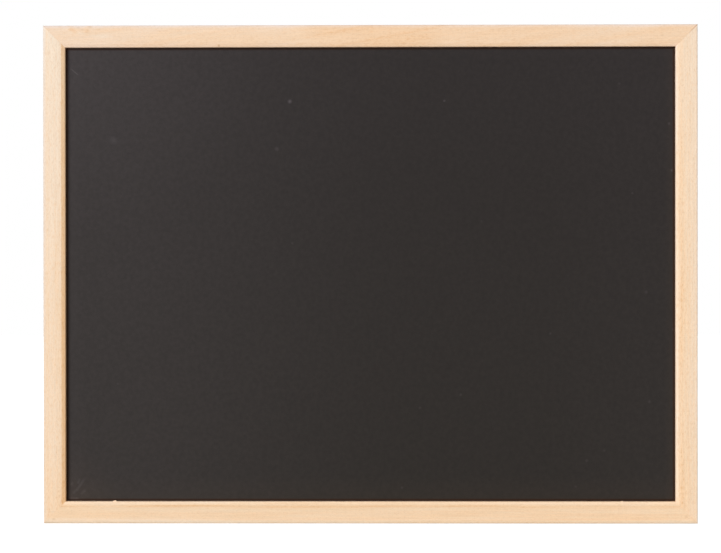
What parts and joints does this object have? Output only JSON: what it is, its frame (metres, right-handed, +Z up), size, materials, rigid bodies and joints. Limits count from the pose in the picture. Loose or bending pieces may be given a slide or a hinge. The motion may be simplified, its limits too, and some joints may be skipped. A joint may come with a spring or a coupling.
{
  "type": "framed chalk writing board",
  "caption": "Rectangular charcoal chalk-writing panel in a pale mitred wood frame, with a ring hanger that swings behind each stile for hanging it on a wall.",
  "frame": {"origin": "midway between the two ring pivots, in the plane of the frame's back", "axes": "+X to the right seen from the front, +Y out of the back towards the wall, +Z up; the writing side faces -Y"},
  "size_m": [0.42, 0.0169, 0.32],
  "materials": {
    "frame_wood": "pale beech, planed and lightly sealed",
    "chalk_surface": "matte charcoal writing surface with a faint satin sheen",
    "hardboard": "brown hardboard with a mesh-textured back",
    "fixing_steel": "bare strip steel",
    "hanger_steel": "bright zinc plate"
  },
  "bodies": {
    "board": {"top_rail": "frame_wood", "bottom_rail": "frame_wood", "left_stile": "frame_wood", "right_stile": "frame_wood", "writing_sheet": "chalk_surface", "hardboard_core": "hardboard", "corner_v_nails": "fixing_steel", "retaining_points": "fixing_steel", "left_hanger_strap": "hanger_steel", "right_hanger_strap": "hanger_steel", "hanger_screws": "hanger_steel"},
    "left_ring": {"left_hanger_ring": "hanger_steel"},
    "right_ring": {"right_hanger_ring": "hanger_steel"}
  },
  "joints": [
    {"name": "left_ring_swing", "type": "hinge", "parent": "board", "child": "left_ring", "pos_m": [-0.20525, 0.0014, 0], "axis": [1, 0, 0], "range_deg": [0, 176]},
    {"name": "right_ring_swing", "type": "hinge", "parent": "board", "child": "right_ring", "pos_m": [0.20525, 0.0014, 0], "axis": [1, 0, 0], "range_deg": [0, 176]}
  ]
}
